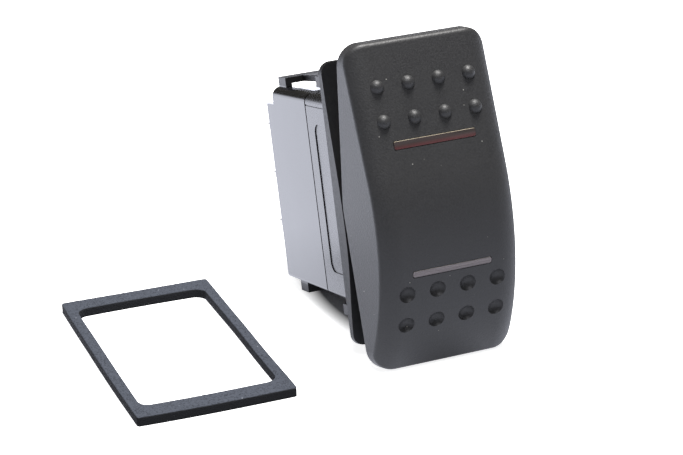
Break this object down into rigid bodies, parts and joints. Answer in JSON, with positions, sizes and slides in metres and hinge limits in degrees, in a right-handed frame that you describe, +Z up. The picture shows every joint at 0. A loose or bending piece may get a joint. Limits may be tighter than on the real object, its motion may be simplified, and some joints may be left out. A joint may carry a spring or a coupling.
{
  "type": "marine rocker switch",
  "caption": "Sealed panel rocker switch with a snap-in body, red and smoke lenses on a long curved rocker, blade terminals behind, and its flat panel gasket lying beside it.",
  "frame": {"origin": "centre of the flange's rear face, which is the middle of the panel cut-out in the panel's front plane", "axes": "+Y into the panel, towards the terminals; +Z up the switch's long side, towards the bumps; +X to the right for a person who faces the rocker"},
  "size_m": [0.0625, 0.0544, 0.0519],
  "materials": {
    "rocker_plastic": "fine matte moulded surface",
    "housing_plastic": "smooth moulded black",
    "carrier_nylon": "natural moulded",
    "plunger_nylon": "natural moulded",
    "red_lens": "translucent, polished",
    "smoke_lens": "translucent, polished",
    "lamp_glass": "clear",
    "tinned_brass": "tinned, satin",
    "copper_strip": "stamped, satin",
    "silver_contact": "satin",
    "spring_steel": "drawn wire",
    "seal_rubber": "matte",
    "gasket_foam": "closed-cell foam, matte"
  },
  "bodies": {
    "housing": {"base": "housing_plastic", "body_seal": "seal_rubber", "bracket": "housing_plastic", "fixed_contact_left_lower": "silver_contact", "fixed_contact_left_upper": "silver_contact", "fixed_contact_right_lower": "silver_contact", "fixed_contact_right_upper": "silver_contact", "lamp_lower": "lamp_glass", "lamp_post_lower": "housing_plastic", "lamp_post_upper": "housing_plastic", "lamp_terminal_lower": "tinned_brass", "lamp_terminal_upper": "tinned_brass", "lamp_upper": "lamp_glass", "panel_gasket": "gasket_foam", "terminal_left_centre": "tinned_brass", "terminal_left_lower": "tinned_brass", "terminal_left_upper": "tinned_brass", "terminal_right_centre": "tinned_brass", "terminal_right_lower": "tinned_brass", "terminal_right_upper": "tinned_brass"},
    "rocker": {"actuator": "rocker_plastic", "carrier": "carrier_nylon", "lens_upper": "red_lens", "lens_lower": "smoke_lens", "plunger_spring_left": "spring_steel", "plunger_spring_right": "spring_steel"},
    "plunger_left": {"plunger_left": "plunger_nylon"},
    "contact_left": {"contact_bridge_left": "copper_strip", "moving_contact_left_upper": "silver_contact", "moving_contact_left_lower": "silver_contact"},
    "plunger_right": {"plunger_right": "plunger_nylon"},
    "contact_right": {"contact_bridge_right": "copper_strip", "moving_contact_right_upper": "silver_contact", "moving_contact_right_lower": "silver_contact"}
  },
  "joints": [
    {"name": "rocker_pivot", "type": "hinge", "parent": "housing", "child": "rocker", "pos_m": [0, 0.002, 0], "axis": [1, 0, 0], "range_deg": [-8, 8]},
    {"name": "contact_rock_left", "type": "hinge", "parent": "housing", "child": "contact_left", "pos_m": [-0.0056, 0.01757, 0], "axis": [1, 0, 0], "range_deg": [-4, 4]},
    {"name": "contact_rock_right", "type": "hinge", "parent": "housing", "child": "contact_right", "pos_m": [0.0056, 0.01757, 0], "axis": [1, 0, 0], "range_deg": [-4, 4]},
    {"name": "plunger_slide_left", "type": "slide", "parent": "rocker", "child": "plunger_left", "axis": [0, -1, 0], "range_m": [0, 0.0003], "stiffness_N_per_m": 20, "springref_m": -0.002},
    {"name": "plunger_slide_right", "type": "slide", "parent": "rocker", "child": "plunger_right", "axis": [0, -1, 0], "range_m": [0, 0.0003], "stiffness_N_per_m": 20, "springref_m": -0.002}
  ],
  "couplings": [
    {"joint": "contact_rock_left", "follows": "rocker_pivot", "ratio": -0.5},
    {"joint": "contact_rock_right", "follows": "rocker_pivot", "ratio": -0.5}
  ]
}
